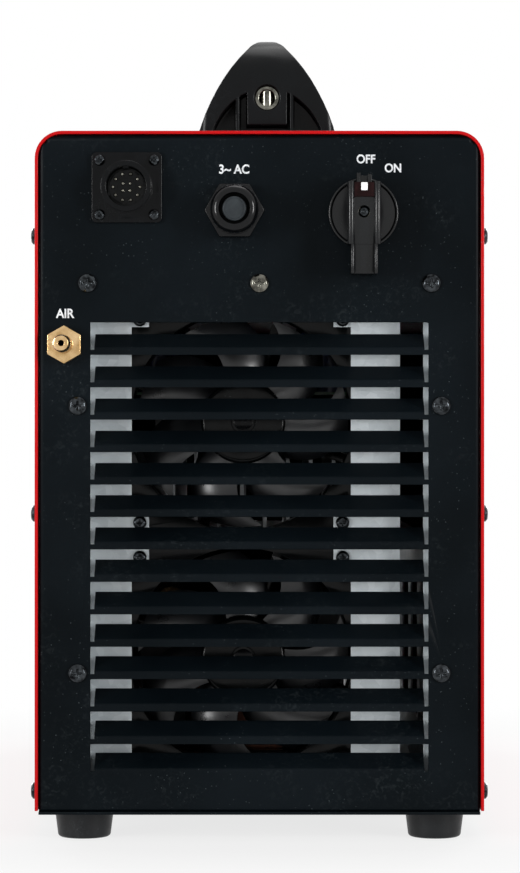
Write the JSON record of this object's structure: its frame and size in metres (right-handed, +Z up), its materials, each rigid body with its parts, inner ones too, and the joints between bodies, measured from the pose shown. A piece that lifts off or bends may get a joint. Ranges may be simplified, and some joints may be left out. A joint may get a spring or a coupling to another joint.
{
  "type": "plasma cutter unit",
  "caption": "Inverter plasma cutter power unit: red sheet-metal cover, black louvred rear panel with fans, control socket, cable gland, rotary switch, air inlet and carrying handle.",
  "frame": {"origin": "on the floor, under the middle of the unit's bounding box", "axes": "+Z up; the louvred rear panel faces -Y and the control front faces +Y; +X is to the right when looking at the rear panel"},
  "size_m": [0.2344, 0.5564, 0.418],
  "materials": {
    "red_paint": "gloss powder coat",
    "black_paint": "fine matt powder coat",
    "galvanised": "galvanised sheet",
    "steel": "zinc plated",
    "black_screw": "black zinc",
    "brass": "turned",
    "black_plastic": "moulded",
    "gloss_plastic": "moulded, glossy",
    "white_plastic": "moulded",
    "red_plastic": "moulded",
    "green_lens": "moulded lens",
    "dark_lens": "dark red filter",
    "rubber": "moulded",
    "grey_rubber": "moulded",
    "aluminium": "extruded",
    "board": "solder mask",
    "capacitor": "sleeve",
    "ferrite": "sintered",
    "copper_winding": "enamelled wire",
    "blue_hose": "extruded"
  },
  "bodies": {
    "housing": {"cover_shell": "red_paint", "base_tray": "black_paint", "rear_panel": "black_paint", "front_panel": "black_paint", "top_shelf": "galvanised", "mid_deck": "galvanised", "fan_plate": "galvanised", "handle_body": "black_plastic", "handle_bushes": "steel", "handle_screws": "steel", "feet": "rubber", "foot_screws": "steel", "cover_screws": "black_screw", "panel_screws": "black_screw", "earth_screw": "steel", "fan_frame_upper": "gloss_plastic", "fan_frame_lower": "gloss_plastic", "fan_screws": "black_screw", "socket_shell": "black_paint", "socket_insert": "black_plastic", "socket_contacts": "steel", "socket_screws": "black_screw", "gland_body": "black_plastic", "gland_dome": "black_plastic", "gland_plug": "grey_rubber", "switch_body": "black_plastic", "air_inlet": "brass", "valve_body": "brass", "valve_coil": "black_plastic", "air_hose_rear": "blue_hose", "air_hose_front": "blue_hose", "power_heatsink": "aluminium", "power_modules": "black_plastic", "power_board": "board", "bus_capacitors": "capacitor", "transformer_core": "ferrite", "transformer_winding": "copper_winding", "output_reactor": "copper_winding", "rectifier_heatsink": "aluminium", "control_board": "board", "control_parts": "black_plastic", "display_window": "dark_lens", "front_board": "board", "indicator_lamps": "green_lens", "current_pot": "steel", "rocker_frame": "gloss_plastic", "button_frame": "gloss_plastic", "outlet_flanges": "black_plastic", "torch_outlet": "brass", "earth_outlet": "brass"},
    "upper_rotor": {"fan_rotor_upper": "gloss_plastic"},
    "lower_rotor": {"fan_rotor_lower": "gloss_plastic"},
    "power_knob": {"switch_shaft": "steel", "switch_knob": "black_plastic", "switch_mark": "white_plastic", "switch_knob_screw": "steel"},
    "dial": {"current_knob": "black_plastic", "dial_shaft": "steel"},
    "rocker": {"mode_rocker": "black_plastic"},
    "button": {"test_button": "red_plastic"}
  },
  "joints": [
    {"name": "upper_fan_spin", "type": "hinge", "parent": "housing", "child": "upper_rotor", "pos_m": [-0.0094, -0.21, 0.2155], "axis": [0, 1, 0], "continuous": true},
    {"name": "lower_fan_spin", "type": "hinge", "parent": "housing", "child": "lower_rotor", "pos_m": [-0.0094, -0.21, 0.0925], "axis": [0, 1, 0], "continuous": true},
    {"name": "power_switch_turn", "type": "hinge", "parent": "housing", "child": "power_knob", "pos_m": [0.053, -0.26, 0.3214], "axis": [0, 1, 0], "range_deg": [0, 45]},
    {"name": "current_dial_turn", "type": "hinge", "parent": "housing", "child": "dial", "pos_m": [0, 0.26, 0.242], "axis": [0, -1, 0], "range_deg": [0, 270]},
    {"name": "mode_rocker_tilt", "type": "hinge", "parent": "housing", "child": "rocker", "pos_m": [0.062, 0.2462, 0.242], "axis": [1, 0, 0], "range_deg": [0, 16]},
    {"name": "test_button_press", "type": "slide", "parent": "housing", "child": "button", "axis": [0, -1, 0], "range_m": [0, 0.003], "stiffness_N_per_m": 300}
  ]
}
